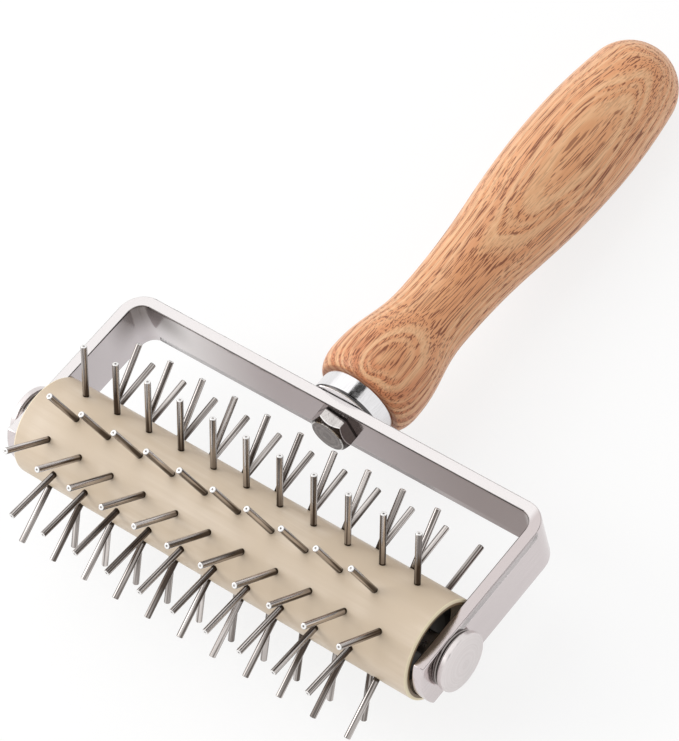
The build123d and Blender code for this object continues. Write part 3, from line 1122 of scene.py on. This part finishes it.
@dataclass
class Yoke:
    """The flat steel bar, bent to a U round the roller."""

    thickness: float = 3.0
    width: float = 14.0
    arm_inner: float = 60.0
    bridge_inner: float = 36.2
    bend_radius: float = 3.5
    arm_overrun: float = 9.0
    end_bulge: float = 2.0
    edge_round: float = 0.32
    edge_steps: int = 3
    sharp_degrees: float = 50.0
    strips: int = 12
    bend_steps: int = 12
    found_within: float = 0.001

    @property
    def straight_end(self) -> float:
        """The station where the arms run into the bends."""
        return self.bridge_inner - self.bend_radius

    @property
    def bend_centre(self) -> float:
        """How far the bends' centres lie from the middle."""
        return self.arm_inner - self.bend_radius

    def swept_bar(self) -> Shape:
        """Sweeps the bar's section up one arm, over the bridge and down the other arm.

        Returns:
            The bar with sharp edges and square ends.
        """
        bm = bmesh.new()
        foot = (self.arm_inner + self.thickness / 2, -self.arm_overrun, 0)
        stand = Matrix.Translation(foot) @ Matrix.Rotation(QUARTER_TURN, 4, "X")
        spread = Matrix.Diagonal((self.thickness, self.width, 1, 1))
        bmesh.ops.create_grid(bm, x_segments=1, y_segments=self.strips, size=0.5,
                              matrix=stand @ spread)
        arm = Vector((0, self.straight_end + self.arm_overrun, 0))
        end = self.bent(bm, pushed(bm, bm.faces[:], arm), self.bend_centre)
        end = pushed(bm, end, Vector((-2 * self.bend_centre, 0, 0)))
        pushed(bm, self.bent(bm, end, -self.bend_centre), -arm)
        bmesh.ops.remove_doubles(bm, verts=bm.verts[:], dist=MERGED_WITHIN)
        bmesh.ops.recalc_face_normals(bm, faces=bm.faces[:])
        return bm

    def bent(self, bm: Shape, faces: Sequence[Face], centre: float) -> list[Face]:
        """Turns the section's faces a quarter turn round a bend.

        Args:
            bm: The bar.
            faces: The section's faces at the bend's start.
            centre: How far to the side the bend's centre lies.

        Returns:
            The section's faces at the bend's end.
        """
        made = bmesh.ops.spin(bm, geom=faces, axis=(0, 0, 1), angle=QUARTER_TURN,
                              cent=(centre, self.straight_end, 0), steps=self.bend_steps)
        return of_kind(made["geom_last"], Face)

    def round_ends(self, bm: Shape) -> None:
        """Moves the arms' end faces out to a shallow arc.

        Args:
            bm: The bar.
        """
        half = self.width / 2
        radius = (half ** 2 + self.end_bulge ** 2) / (2 * self.end_bulge)
        for vert in bm.verts:
            if abs(vert.co.y + self.arm_overrun) < self.found_within:
                vert.co.y -= self.end_bulge - radius + math.sqrt(radius ** 2 - vert.co.z ** 2)

    def ease_edges(self, bm: Shape) -> None:
        """Rounds every sharp edge of the bar.

        Args:
            bm: The bar.
        """
        limit = math.radians(self.sharp_degrees)
        sharp = [edge for edge in bm.edges if edge.calc_face_angle(0.0) > limit]
        bmesh.ops.bevel(bm, geom=sharp, offset=self.edge_round, offset_type="OFFSET",
                        segments=self.edge_steps, profile=0.5, affect="EDGES", material=-1,
                        clamp_overlap=True)

    def way_along(self, place: Vector) -> Vector:
        """Unrolls a place on the bar.

        Args:
            place: A point of the bar in the docker's own frame.

        Returns:
            Its way along the bar from the bridge's middle, its way round the section, and its
            depth from the bar's inner face.
        """
        side = math.copysign(1, place.x)
        over, up = abs(place.x) - self.bend_centre, place.y - self.straight_end
        bend = self.bend_radius + self.thickness / 2
        if over <= 0:
            along, depth = place.x, up - self.bend_radius
        elif up <= 0:
            along = side * (self.bend_centre + bend * QUARTER_TURN - up)
            depth = over - self.bend_radius
        else:
            along = side * (self.bend_centre + bend * math.atan2(over, up))
            depth = math.hypot(over, up) - self.bend_radius
        return Vector((along, place.z + depth, depth))

    def build(self) -> list[Piece]:
        """Makes the bar and dresses it in brushed steel.

        Returns:
            The bar alone.
        """
        bm = self.swept_bar()
        self.round_ends(bm)
        self.ease_edges(bm)
        ways = [self.way_along(vert.co) for vert in bm.verts]
        for face in bm.faces:
            face.smooth = True
        bar = set_down(bm, "yoke_bar", Body.FRAME, STEEL_BAR, ["yoke"])
        along = bar.data.attributes.new(ALONG_BAR, "FLOAT_VECTOR", "POINT")
        along.data.foreach_set("vector", [value for way in ways for value in way])
        return [bar]


@dataclass
class Roller:
    """The moulded sleeve with its ten rows of blunt pins."""

    length: float = 119.0
    radius: float = 12.6
    wall: float = 1.4
    rim_round: float = 0.45
    sleeve_steps: int = 160
    sharp_degrees: float = 50.0
    pin_radius: float = 0.8
    pin_reach: float = 27.4
    pin_offset: float = 3.0
    tip_round: float = 0.2
    tip_bulge: float = 0.3
    dimple_radius: float = 0.26
    dimple_depth: float = 0.14
    pin_sides: int = 14
    long_row_pins: int = 11
    long_row_margin: float = 9.5
    short_row_shift: float = -1.2
    rows: int = 10
    close_gaps: int = 7
    close_share: float = 0.95
    rest_turn: float = 1.3
    tone_steps: Point = (0.618, 0.29)

    def row_angles(self) -> list[float]:
        """The angle of each row from the lowest one.

        Returns:
            The angles in degrees, wide steps first.
        """
        close = self.close_share * 360 / self.rows
        wide = (360 - self.close_gaps * close) / (self.rows - self.close_gaps)
        steps = [wide] * (self.rows - self.close_gaps - 1) + [close] * self.close_gaps
        return [sum(steps[:row]) for row in range(self.rows)]

    def stations(self, row: int) -> list[float]:
        """The places of a row's pins along the roller.

        Args:
            row: The row's number, from 0 on; every second row is short.

        Returns:
            The pins' stations from left to right.
        """
        pitch = (self.length - 2 * self.long_row_margin) / (self.long_row_pins - 1)
        short = row % 2
        count = self.long_row_pins - short
        middle = self.short_row_shift * short
        return [middle + (i - (count - 1) / 2) * pitch for i in range(count)]

    def sleeve(self) -> Piece:
        """Turns the tube, with softly rounded rims.

        Returns:
            The sleeve.
        """
        half, bore = self.length / 2, self.radius - self.wall
        outline = [(bore, half), (self.radius, half), (self.radius, -half), (bore, -half)]
        outline = rounded(outline, 2, self.rim_round)
        outline = rounded(outline, 1, self.rim_round)
        bm = lathe([*outline, outline[0]], Turn.ROLLER_AXIS, self.sleeve_steps)
        sharpen(bm, self.sharp_degrees)
        return set_down(bm, "sleeve_tube", Body.ROLLER, SLEEVE_PLASTIC,
                        ["roller_sleeve"])

    def one_pin(self) -> Shape:
        """Turns a blunt pin along +Y with an eased rim and a small centre dimple in its tip.

        Returns:
            The pin, whose vertices keep their place on it for its finish to read.
        """
        bore = self.radius - self.wall
        foot = math.sqrt(bore ** 2 - (self.pin_offset - self.pin_radius) ** 2)
        tip = math.sqrt(self.pin_reach ** 2 - self.pin_offset ** 2)
        side, edge, bulge = self.pin_radius, self.tip_round, self.tip_round * self.tip_bulge
        outline = [(0, foot), (side, foot), (side, tip - edge), (side - bulge, tip - bulge),
                   (side - edge, tip), (self.dimple_radius, tip), (0, tip - self.dimple_depth)]
        bm = lathe(outline, Turn.HANDLE_AXIS, self.pin_sides)
        sharpen(bm, self.sharp_degrees)
        kept = bm.verts.layers.float_vector.new(PIN_PLACE)
        bm.verts.layers.float.new(PIN_TONE)
        for vert in bm.verts:
            vert[kept] = vert.co - Vector((0, tip, 0))
        return bm

    def pin_row(self, row: int) -> Piece:
        """Makes a row of pins, which all pass beside the axis, and turns it round the roller.

        Args:
            row: The row's number, from 0 on.

        Returns:
            The row as one piece.
        """
        bm = self.one_pin()
        first = bm.verts[:] + bm.edges[:] + bm.faces[:]
        spots = self.stations(row)
        tone = bm.verts.layers.float[PIN_TONE]
        pin_step, row_step = self.tone_steps
        for number, spot in enumerate(spots[1:], start=1):
            copy = bmesh.ops.duplicate(bm, geom=first)["geom"]
            moved = of_kind(copy, bmesh.types.BMVert)
            bmesh.ops.translate(bm, verts=moved, vec=(spot - spots[0], 0, 0))
            for vert in moved:
                vert[tone] = (pin_step * number + row_step * row) % 1
        bmesh.ops.translate(bm, verts=bm.verts[:], vec=(spots[0], 0, -self.pin_offset))
        lean = math.degrees(math.asin(self.pin_offset / self.pin_reach))
        angle = LAID.tilt_degrees + self.rest_turn + self.row_angles()[row] + lean - 90
        bmesh.ops.rotate(bm, verts=bm.verts[:], cent=(0, 0, 0),
                         matrix=Matrix.Rotation(math.radians(angle), 3, "X"))
        label = f"{row + 1:02d}"
        return set_down(bm, f"pins_{label}", Body.ROLLER, PIN_STEEL,
                        [f"pin_row_{label}"])

    def build(self) -> list[Piece]:
        """Makes the sleeve and all the rows of pins."""
        return [self.sleeve(), *(self.pin_row(row) for row in range(self.rows))]


@dataclass
class AxleEnds:
    """The grooved washer and the low domed cap outside each arm."""

    arm_outer: float = 63.0
    axle_radius: float = 3.0
    washer_radius: float = 7.0
    washer_thickness: float = 1.2
    groove: float = 0.3
    washer_sharp_degrees: float = 30.0
    cap_radius: float = 7.4
    cap_edge: float = 1.5
    cap_dome: float = 0.8
    cap_ease: float = 0.4
    cap_sharp_degrees: float = 50.0
    dome_shares: tuple[float, ...] = (0.9, 0.75, 0.6, 0.45, 0.3, 0.15)

    @property
    def cap_inner(self) -> float:
        """The station of the cap's seat on the washer."""
        return self.arm_outer + self.washer_thickness

    def turned(self, outline: Sequence[Point], side: Side, sharp_degrees: float) -> Shape:
        """Turns a right-hand outline and puts the shape on the side asked for.

        Args:
            outline: Points of radius and station.
            side: The docker's side.
            sharp_degrees: The angle between faces from which an edge is sharp.

        Returns:
            The shape, facing outwards.
        """
        bm = lathe(outline, Turn.ROLLER_AXIS)
        if side is Side.LEFT:
            bmesh.ops.scale(bm, vec=(-1, 1, 1), verts=bm.verts[:])
            bmesh.ops.recalc_face_normals(bm, faces=bm.faces[:])
        sharpen(bm, sharp_degrees)
        return bm

    def washer(self, side: Side) -> Piece:
        """Makes the ring between arm and cap, with a groove round it.

        Args:
            side: The docker's side.

        Returns:
            The washer.
        """
        bore, rim, deep = self.axle_radius, self.washer_radius, self.washer_radius - self.groove
        start, end = self.arm_outer, self.cap_inner
        middle = self.arm_outer + self.washer_thickness / 2
        outline = [(bore, start), (rim, start), (rim, middle - self.groove), (deep, middle),
                   (rim, middle + self.groove), (rim, end), (bore, end), (bore, start)]
        bm = self.turned(outline, side, self.washer_sharp_degrees)
        name = side.name.lower()
        return set_down(bm, f"washer_{name}", Body.FRAME, WASHER_STEEL,
                        [f"axle_washer_{name}"])

    def cap(self, side: Side) -> Piece:
        """Makes the round cap, with an eased rim and a low dome.

        Args:
            side: The docker's side.

        Returns:
            The cap.
        """
        wide, rim = self.cap_radius, self.cap_inner + self.cap_edge
        arc = (wide ** 2 + self.cap_dome ** 2) / (2 * self.cap_dome)
        dome = [(r, rim + self.cap_dome - arc + math.sqrt(arc ** 2 - r ** 2))
                for r in (wide * share for share in self.dome_shares)]
        outline = [(0, self.cap_inner), (wide, self.cap_inner), (wide, rim), *dome,
                   (0, rim + self.cap_dome)]
        outline = rounded(outline, 2, self.cap_ease)
        outline = rounded(outline, 1, self.cap_ease / 2, 2)
        bm = self.turned(outline, side, self.cap_sharp_degrees)
        name = side.name.lower()
        return set_down(bm, f"cap_{name}", Body.FRAME, CAP_STEEL,
                        [f"axle_cap_{name}"])

    def build(self) -> list[Piece]:
        """Makes both sides' washers and caps."""
        return [make(side) for side in Side for make in (self.washer, self.cap)]


@dataclass
class HandleEnd:
    """What the yoke carries: the hexagon-head bolt, the ferrule and the turned handle."""

    bridge_inner: float = 36.2
    bridge_outer: float = 39.2
    ferrule_radius: float = 9.9
    ferrule_length: float = 5.3
    ferrule_wall: float = 0.8
    ferrule_corner: float = 0.6
    rim_ease_shares: Point = (0.3, 0.4)
    bolt_play: float = 0.2
    bolt_radius: float = 3.0
    bolt_grip: float = 30.0
    bolt_steps: int = 48
    shank_overlap: float = 0.5
    head_flats: float = 10.0
    head_height: float = 4.0
    head_turn: float = -11.0
    circle_start: float = 90.0
    head_steps: int = 96
    head_sharp_degrees: float = 20.0
    chamfer_drop: float = 0.5
    chamfer_inset: float = 0.55
    face_rise: float = 0.12
    face_ease: Point = (0.6, 0.08)
    blank_margin: float = 1.0
    aside: float = HANDLE_ASIDE
    length: float = 121.5
    shoulder: Point = (10.3, 0.0)
    bulb: Point = (13.0, 6.0)
    waist: Point = (10.0, 29.0)
    grip: Point = (13.9, 87.0)
    end_radius: float = 12.2
    shoulder_share: float = 0.55
    curve_share: float = 0.45
    curve_steps: tuple[int, int, int] = (12, 16, 28)
    arc_steps: tuple[int, int] = (14, 18)
    turned_steps: int = 128
    sharp_degrees: float = 40.0

    @property
    def rim(self) -> float:
        """The station of the ferrule's rim, where the wood starts."""
        return self.bridge_outer + self.ferrule_length

    def moved(self, bm: Shape) -> Shape:
        """Moves a shape from the middle of the yoke to the handle's own axis."""
        bmesh.ops.translate(bm, verts=bm.verts[:], vec=(self.aside, 0, 0))
        return bm

    def turned(self, outline: Sequence[Point]) -> Shape:
        """Turns an outline about the handle's own axis.

        Args:
            outline: Points of radius and station.

        Returns:
            The shape, shaded smoothly except over its sharp edges.
        """
        bm = self.moved(lathe(outline, Turn.HANDLE_AXIS, self.turned_steps))
        sharpen(bm, self.sharp_degrees)
        return bm

    def ferrule(self) -> Piece:
        """Turns the drawn cup: rounded floor corner, straight wall and eased rim.

        Returns:
            The ferrule.
        """
        outer, inner = self.ferrule_radius, self.ferrule_radius - self.ferrule_wall
        bore, seat = self.bolt_radius + self.bolt_play, self.bridge_outer
        floor = seat + self.ferrule_wall
        outline = [(bore, seat), (outer, seat), (outer, self.rim), (inner, self.rim),
                   (inner, floor), (bore, floor), (bore, seat)]
        inner_share, outer_share = self.rim_ease_shares
        outline = rounded(outline, 3, self.ferrule_wall * inner_share, 3)
        outline = rounded(outline, 2, self.ferrule_wall * outer_share, 4)
        outline = rounded(outline, 1, self.ferrule_corner, 6)
        return set_down(self.turned(outline), "ferrule_cup", Body.FRAME,
                        CUP_CHROME, ["ferrule"])

    def head(self) -> Shape:
        """Makes the bolt's hexagon head, whose corners a turned chamfer takes off.

        Returns:
            The head on the middle axis.
        """
        half = self.head_flats / 2
        corner = half / math.cos(math.pi / HEAD_SIDES)
        seat = self.bridge_inner
        face = seat - self.head_height
        bm = bmesh.new()
        stand = Matrix.Translation((0, seat, 0)) @ Matrix.Rotation(QUARTER_TURN, 4, "X")
        turn = Matrix.Rotation(math.radians(self.head_turn - self.circle_start), 4, "Z")
        bmesh.ops.create_circle(bm, cap_ends=True, segments=HEAD_SIDES, radius=corner,
                                matrix=stand @ turn)
        pushed(bm, bm.faces[:], Vector((0, -self.head_height, 0)))
        bmesh.ops.recalc_face_normals(bm, faces=bm.faces[:])
        slope = self.chamfer_drop / self.chamfer_inset
        flat, wide = half - self.chamfer_inset, corner + self.blank_margin
        ease_share, ease_rise = self.face_ease
        blank = [(0, face - self.face_rise), (flat * ease_share, face - ease_rise),
                 (flat, face), (wide, face + (wide - flat) * slope), (wide, seat), (0, seat)]
        return self.cut_to(bm, lathe(blank, Turn.HANDLE_AXIS, self.head_steps))

    def bolt(self) -> Piece:
        """Makes the bolt: its head on its shank.

        Returns:
            The bolt as one piece.
        """
        start = self.bridge_inner - self.shank_overlap
        end = self.bridge_inner + self.bolt_grip
        head = self.head()
        shank = lathe([(0, start), (self.bolt_radius, start), (self.bolt_radius, end), (0, end)],
                      Turn.HANDLE_AXIS, self.bolt_steps)
        part = bpy.data.meshes.new("bolt_shank_part")
        shank.to_mesh(part)
        shank.free()
        head.from_mesh(part)
        bpy.data.meshes.remove(part)
        sharpen(head, self.head_sharp_degrees)
        return set_down(self.moved(head), "bolt", Body.FRAME, BOLT_STEEL,
                        ["handle_bolt"])

    @staticmethod
    def cut_to(shape: Shape, blank: Shape) -> Shape:
        """Keeps what a shape has in common with a blank.

        Args:
            shape: The shape, which is used up.
            blank: The blank, which is used up too.

        Returns:
            What both have in common.
        """
        pair = [as_object(shape, "cut_shape"), as_object(blank, "cut_blank")]
        cut = pair[0].modifiers.new("cut", "BOOLEAN")
        cut.operation, cut.object, cut.solver = "INTERSECT", pair[1], "EXACT"
        seen = pair[0].evaluated_get(bpy.context.evaluated_depsgraph_get())
        made = bmesh.new()
        made.from_mesh(seen.to_mesh())
        seen.to_mesh_clear()
        for helper in pair:
            mesh = helper.data
            bpy.data.objects.remove(helper)
            bpy.data.meshes.remove(mesh)
        return made

    @staticmethod
    def bezier(knots: Sequence[Point], steps: int) -> list[Point]:
        """The points of one curve between two knots.

        Args:
            knots: The first knot, its handle, the second knot's handle and the second knot.
            steps: How many chords the curve has.

        Returns:
            The points after the first.
        """
        corners = [Vector((radius, station, 0)) for radius, station in knots]
        return [(p.x, p.y) for p in interpolate_bezier(*corners, steps + 1)][1:]

    def wood_outline(self) -> list[Point]:
        """Half of the handle's long section.

        Returns:
            Points of radius and station, from the tenon to the round end.
        """
        shoulder, bulb, waist, grip = (
            (radius, self.rim + station)
            for radius, station in (self.shoulder, self.bulb, self.waist, self.grip))
        rise = (bulb[0] - shoulder[0]) * self.shoulder_share
        run = self.bulb[1] * self.shoulder_share
        tenon = self.ferrule_radius - self.ferrule_wall
        floor = self.bridge_outer + self.ferrule_wall
        outline = [(0, floor), (tenon, floor), (tenon, self.rim), shoulder]
        handles = (shoulder[0] + rise, self.rim), (bulb[0], bulb[1] - run)
        outline += self.bezier([shoulder, *handles, bulb], self.curve_steps[0])
        for start, end, steps in zip((bulb, waist), (waist, grip), self.curve_steps[1:]):
            ease = (end[1] - start[1]) * self.curve_share
            handles = (start[0], start[1] + ease), (end[0], end[1] - ease)
            outline += self.bezier([start, *handles, end], steps)
        return outline + self.end_arcs(grip)

    def end_arcs(self, grip: Point) -> list[Point]:
        """The long arc over the thick of the grip and the round end that it runs into.

        Args:
            grip: The radius and station of the grip's thickest place.

        Returns:
            The points after that place.
        """
        small = self.end_radius
        reach = self.length - small - self.grip[1]
        big = (reach ** 2 + grip[0] ** 2 - small ** 2) / (2 * (grip[0] - small))
        centre = Vector((grip[0] - big, grip[1]))
        end_centre = Vector((0, grip[1] + reach))
        lean = math.atan2(end_centre.y - centre.y, end_centre.x - centre.x)
        steps, end_steps = self.arc_steps
        body = [(centre.x + big * math.cos(a), centre.y + big * math.sin(a))
                for a in (lean * k / steps for k in range(1, steps + 1))]
        tip = [(end_centre.x + small * math.cos(a), end_centre.y + small * math.sin(a))
               for a in (lean + (QUARTER_TURN - lean) * k / end_steps
                         for k in range(1, end_steps))]
        return [*body, *tip, (0, end_centre.y + small)]

    def wood(self) -> Piece:
        """Turns the handle."""
        return set_down(self.turned(self.wood_outline()), "handle_grip", Body.FRAME,
                        HANDLE_WOOD, ["handle"])

    def build(self) -> list[Piece]:
        """Makes the bolt, the ferrule and the handle."""
        return [self.bolt(), self.ferrule(), self.wood()]


@dataclass(frozen=True)
class PhotoCamera:
    """The camera, at the photograph's viewing angle."""

    place: Triple = (0.38790, -0.26016, 0.68788)
    turn_degrees: Triple = (32.1427, 14.2257, 37.5254)
    lens: float = 166.454
    sensor: float = 36.0
    clip: Point = (0.05, 20.0)

    def build(self) -> None:
        """Sets the camera up and makes it the scene's own."""
        made = bpy.data.cameras.new("photo_camera")
        made.lens, made.sensor_width = self.lens, self.sensor
        made.clip_start, made.clip_end = self.clip
        camera = linked("photo_camera", made)
        camera.location = self.place
        camera.rotation_euler = [math.radians(angle) for angle in self.turn_degrees]
        bpy.context.scene.camera = camera


def staged_sheet(name: str, spread: Matrix, finish: Finish) -> Piece:
    """Adds a flat sheet of the studio.

    Args:
        name: The sheet's name.
        spread: What brings a unit square to the sheet.
        finish: Its finish.

    Returns:
        The sheet.
    """
    bm = bmesh.new()
    bmesh.ops.create_grid(bm, x_segments=1, y_segments=1, size=0.5, matrix=spread)
    sheet = as_object(bm, name, finish)
    return sheet


def mirrored_card(name: str, spread: Matrix) -> None:
    """Adds a dark card that only mirrors see.

    Args:
        name: The card's name.
        spread: What brings a unit square to the card.
    """
    card = staged_sheet(name, spread, CARD_FELT)
    card.visible_camera = card.visible_diffuse = False
    card.visible_shadow = card.visible_transmission = False


@dataclass(frozen=True)
class SoftBox:
    """A large square lamp with a dark back that looks at the middle of the docker."""

    name: str
    place: Triple
    size: float
    power: float
    aim: Triple = (0.0, -0.02, 0.03)
    back_gap: float = 0.01

    def build(self) -> None:
        """Adds the lamp and its back."""
        made = bpy.data.lights.new(self.name, "AREA")
        made.shape, made.size, made.energy = "SQUARE", self.size, self.power
        lamp = linked(self.name, made)
        lamp.location = self.place
        way = (Vector(self.aim) - Vector(self.place)).to_track_quat("-Z", "Y")
        lamp.rotation_euler = way.to_euler()
        stand = Matrix.Translation(self.place) @ way.to_matrix().to_4x4()
        behind = stand @ Matrix.Translation((0, 0, self.back_gap))
        mirrored_card(f"{self.name}_back", behind @ Matrix.Scale(self.size, 4))


@dataclass(frozen=True)
class DarkCard:
    """A dark card over the table that only mirrors see, for polished steel to show."""

    name: str
    place: Triple
    size: Point

    def build(self) -> None:
        """Adds the card, level over the docker."""
        spread = Matrix.Diagonal((*self.size, 1, 1))
        mirrored_card(self.name, Matrix.Translation(self.place) @ spread)


@dataclass
class Studio:
    """The pale table, the soft lamps, the dark cards and the white room round them."""

    table_size: float = 6.0
    table_drop: float = 0.00005
    room_light: float = 0.61
    lamps: list[SoftBox] = field(default_factory=lambda: [
        SoftBox("key_box", (-1.1, 0.1, 1.6), 2.4, 22.5),
        SoftBox("side_box", (-0.5, -0.35, 0.4), 0.4, 1.5),
    ])
    cards: list[DarkCard] = field(default_factory=lambda: [
        DarkCard("card_over_ferrule", (0.24, 0.62, 1.05), (0.56, 0.5)),
        DarkCard("card_over_roller", (0.15, -0.45, 1.0), (0.9, 0.35)),
    ])

    def table(self) -> None:
        """Adds the table top, just under the docker."""
        spread = Matrix.Translation((0, 0, -self.table_drop)) @ Matrix.Scale(self.table_size, 4)
        staged_sheet("table_top", spread, TABLE_FINISH)

    def room(self) -> None:
        """Sets the even white room up, which camera, mirrors and glass see as plain white."""
        world = bpy.data.worlds.new("white_room")
        bpy.context.scene.world = world
        world.use_nodes = True
        board = NodeBoard(world.node_tree)
        path = board.add("LightPath").outputs
        seen = board.math("ADD", path["Is Camera Ray"], path["Is Glossy Ray"], clamp=True)
        seen = board.math("ADD", seen, path["Is Transmission Ray"], clamp=True)
        strength = board.math("ADD", board.times(seen, 1.0 - self.room_light), self.room_light)
        back = board.add("Background", {"Color": (1, 1, 1), "Strength": strength})
        board.add("OutputWorld", {"Surface": back.outputs[0]})

    def build(self) -> None:
        """Sets the whole studio up."""
        bpy.context.scene.view_settings.view_transform = "Standard"
        self.table()
        self.room()
        for thing in (*self.lamps, *self.cards):
            thing.build()


def corners(box: Sequence[Vector]) -> list[list[float]]:
    """A box as plain lists of numbers."""
    return [list(corner) for corner in box]


def main() -> None:
    """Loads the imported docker, dresses it and reports every piece."""
    logging.basicConfig(level=logging.INFO, format="%(message)s")
    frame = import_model()
    PhotoCamera().build()
    Studio().build()
    for part in (Yoke(), Roller(), AxleEnds(), HandleEnd()):
        for piece in part.build():
            count = len(piece.data.polygons)
            log.info("%s made %s, %d faces", type(part).__name__, piece.name, count)
    nodes = frame["nodes"]
    repaint(nodes, ["axle"], AXLE_STEEL)
    repaint(nodes, ["roller_core"], CORE_PLASTIC)
    repaint(nodes, ["bush_left", "bush_right"], BUSH_PLASTIC)
    repaint(nodes, ["handle_insert"], INSERT_BRASS)


if __name__ == "__main__":
    main()
